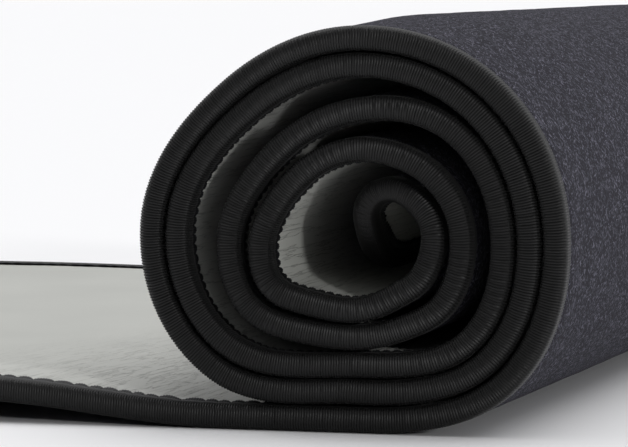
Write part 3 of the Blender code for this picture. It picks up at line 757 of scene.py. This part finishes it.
def grosgrain():
    """Black ribs with a low sheen, painted shade near black in their grooves, and a little blue at the hem.
    """
    look, shader = begin("grosgrain_tape", Specular_IOR_Level=0.25, Sheen_Weight=0.04, Sheen_Roughness=0.5)
    place = add(look, "Attribute", {}, attribute_name="on_tape").outputs["Vector"]
    parts = add(look, "SeparateXYZ", {0: place})
    weave = stretched_noise(look, place, (0.22, 0.9, 500), Detail=2.0)
    patches = stretched_noise(look, place, (7, 5, 900), Detail=2.0)
    varied = ramp(look, patches, [(0.3, "#101010"), (0.7, "#181818")])
    # Painted shade: the grooves between the ribs are mixed towards near black.
    turned = add(look, "Math", {0: parts.outputs[0], 1: 2 * pi / RIB}, operation="MULTIPLY").outputs[0]
    wave = add(look, "Math", {0: turned}, operation="COSINE").outputs[0]
    groove_shade = add(look, "MapRange", {0: wave, 1: 0.1, 2: 0.95}).outputs[0]
    varied = add(look, "Mix", {0: groove_shade, 6: varied, 7: linear("#010101")}, data_type="RGBA").outputs[2]
    hem = add(look, "MapRange", {0: parts.outputs[2], 1: 0.35, 2: 0.8}).outputs[0]
    colour = add(look, "Mix", {0: hem, 6: varied, 7: linear("#06070d")}, data_type="RGBA").outputs[2]
    rough = add(look, "MapRange", {0: weave, 3: 0.36, 4: 0.56}).outputs[0]
    bump = add(look, "Bump", {"Height": weave, "Distance": 0.06 * MM, "Strength": 0.9})
    join(look, shader, Base_Color=colour, Roughness=rough, Normal=bump.outputs[0])
    return look


tape = grosgrain()
for stretch, (start, stop, *_) in STRETCHES.items():
    u_start = 0 if start == 0 else CORNER_U + start - CORNER
    u_stop = OUTLINE[0][-1] if stop == LENGTH else CORNER_U + stop - CORNER
    for side in ("near", "far"):
        ribs = 4 if side == "near" and stretch != "inner_turns" else 2
        pucker = PUCKERS.get(stretch, COILED_PUCKER)
        curl = CURLS.get(stretch, COILED_CURL)
        piece = binding(f"binding_{stretch}_{side}", u_start, u_stop, side, ribs, pucker, curl)
        piece.data.materials.append(tape)
        node = "_binding" if stretch == "foot" else "_binding_" + side
        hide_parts(STANDS_FOR[stretch] + node)
        carry(piece, stretch)

# The inlet
# A moulded cover over the middle of the foot end, with the socket for the power lead in its end.
# Its small parts keep their own frame shapes; only their edges are eased and their looks made.


def moulded(name, colour, rough, grain_mm, depth_mm):
    """Moulded plastic or rubber with a fine spark-eroded grain."""
    look, shader = begin(name, Roughness=rough)
    place = add(look, "TexCoord", {}).outputs["Object"]
    grain = stretched_noise(look, place, (grain_mm,) * 3, Detail=3.0)
    cloudy = stretched_noise(look, place, (12, 12, 12))
    bump = add(look, "Bump", {"Height": grain, "Distance": depth_mm * MM})
    varied = add(look, "MapRange", {0: cloudy, 3: rough - 0.05, 4: rough + 0.06}).outputs[0]
    join(look, shader, Normal=bump.outputs[0], Roughness=varied)
    shader.inputs["Base Color"].default_value = linear(colour)
    return look


def plain_metal(name, colour, rough, sizes):
    """Bare or plated metal with faint drawn or turned lines of these sizes."""
    look, shader = begin(name, Metallic=1.0)
    place = add(look, "TexCoord", {}).outputs["Object"]
    lines = stretched_noise(look, place, sizes, Detail=2.0)
    bump = add(look, "Bump", {"Height": lines, "Distance": 0.01 * MM})
    varied = add(look, "MapRange", {0: lines, 3: rough - 0.06, 4: rough + 0.08}).outputs[0]
    join(look, shader, Normal=bump.outputs[0], Roughness=varied)
    shader.inputs["Base Color"].default_value = linear(colour)
    return look


black_abs = moulded("black_abs_cover", "#1b1b1c", 0.48, 0.25, 0.03)
white_nylon = moulded("white_nylon", "#dedcd5", 0.42, 0.6, 0.01)
seal_rubber = moulded("seal_rubber", "#1a1a1a", 0.75, 0.5, 0.03)
amber_film = moulded("amber_sensor_film", "#b8741c", 0.3, 1.5, 0.01)
zinc_steel = plain_metal("zinc_plated_steel", "#b9bbbd", 0.34, (0.4, 0.4, 3))
nickel = plain_metal("nickel_plated_brass", "#cfcdc8", 0.2, (3, 0.3, 0.3))
pressed_case = plain_metal("pressed_aluminium", "#bfc0c2", 0.4, (0.5, 4, 4))
gold_contact = plain_metal("gold_coloured_contact", "#d8b15e", 0.24, (3, 0.3, 0.3))
bare_copper = plain_metal("bare_copper_lead", "#cf8a66", 0.3, (0.4, 4, 2))
INLET_LOOKS = {
    "inlet_cover": (black_abs, "black_plastic", 0.8),
    "inlet_base_plate": (black_abs, "black_plastic", 0.3),
    "inlet_gasket": (seal_rubber, "seal_rubber", 0.15),
    "inlet_screw_1": (zinc_steel, "screw_steel", 0.15),
    "inlet_screw_2": (zinc_steel, "screw_steel", 0.15),
    "inlet_screw_3": (zinc_steel, "screw_steel", 0.15),
    "inlet_screw_4": (zinc_steel, "screw_steel", 0.15),
    "socket_collar": (nickel, "socket_metal", 0.3),
    "socket_insert": (white_nylon, "white_plastic", 0.2),
    "socket_pin_1": (gold_contact, "contact_brass", 0.2),
    "socket_pin_2": (gold_contact, "contact_brass", 0.2),
    "socket_pin_3": (gold_contact, "contact_brass", 0.2),
    "terminal_block": (white_nylon, "white_plastic", 0.2),
    "thermal_cutout": (pressed_case, "cutout_metal", 0.3),
    "lead_near": (bare_copper, "copper", 0.1),
    "lead_far": (bare_copper, "copper", 0.1),
    "film_temperature_sensor": (amber_film, "sensor_film", 0.1),
}
for name, (look, slot, edge) in INLET_LOOKS.items():
    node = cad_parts[name]
    node.data.materials.clear()
    node.data.materials.append(look)
    bevel = node.modifiers.new("eased_edges", "BEVEL")
    bevel.width = edge * MM
    bevel.segments = 3
    bevel.limit_method = "ANGLE"
    bevel.angle_limit = radians(40)
    bevel.harden_normals = True

# The stage
# A plain pale floor that runs out of view, under soft light from above and from the left, with a
# narrower light low on the right that reaches into the core of the roll.

FLOOR = "#f1f1f2"
bpy.ops.mesh.primitive_plane_add(size=60, location=(0, 10, -0.0002))
floor = bpy.context.object
floor.name = "floor"
paper, paper_shader = begin("matt_paper", Roughness=0.9, Specular_IOR_Level=0.1)
tooth = add(paper, "TexNoise", {"Scale": 900.0})
faint = add(paper, "Bump", {"Height": tooth.outputs["Fac"], "Distance": 0.00002})
join(paper, paper_shader, Normal=faint.outputs[0])
paper_shader.inputs["Base Color"].default_value = linear(FLOOR)
floor.data.materials.append(paper)

# The sky is bright overhead and behind, and dim in front, so that the roll's end stays dark.
world = bpy.data.worlds.new("soft_white")
world.use_nodes = True
way = add(world, "TexCoord", {}).outputs["Generated"]
ways = add(world, "SeparateXYZ", {0: way})
front = add(world, "MapRange", {0: ways.outputs[1], 1: -0.95, 2: 0.15, 3: 0.10, 4: 1.0}).outputs[0]
above = add(world, "MapRange", {0: ways.outputs[2], 1: -0.1, 2: 0.75, 3: 0.35, 4: 1.0}).outputs[0]
sky = add(world, "Math", {0: front, 1: above}, operation="MULTIPLY").outputs[0]
background = world.node_tree.nodes["Background"]
background.inputs["Color"].default_value = linear("#f8f8fa")
sky = add(world, "Math", {0: sky, 1: 0.78}, operation="MULTIPLY").outputs[0]
world.node_tree.links.new(sky, background.inputs["Strength"])
bpy.context.scene.world = world


def sun(name, towards, strength, spread):
    """A large far light that shines this way, with its apparent width in degrees."""
    light = bpy.data.lights.new(name, "SUN")
    light.energy = strength
    light.angle = radians(spread)
    lamp = bpy.data.objects.new(name, light)
    lamp.rotation_euler = Vector(towards).to_track_quat("-Z", "Y").to_euler()
    bpy.context.collection.objects.link(lamp)


sun("broad_panel_overhead", (-0.30, -0.34, -1.0), 1.40, 60)
sun("panel_on_the_left", (0.90, -0.25, -0.50), 0.85, 30)
sun("low_panel_front_right", (-0.78, 0.58, -0.24), 0.90, 6)

lens = bpy.data.cameras.new("view")
lens.lens = 238.3
lens.clip_end = 100
camera = bpy.data.objects.new("view", lens)
camera.location = (0.621142, -1.7387, 0.1704)
camera.rotation_euler = (radians(90 - 3.61), 0, radians(16.31))
bpy.context.collection.objects.link(camera)
scene = bpy.context.scene
scene.camera = camera
scene.view_settings.view_transform = "Standard"
scene.render.resolution_x = 628
scene.render.resolution_y = 447
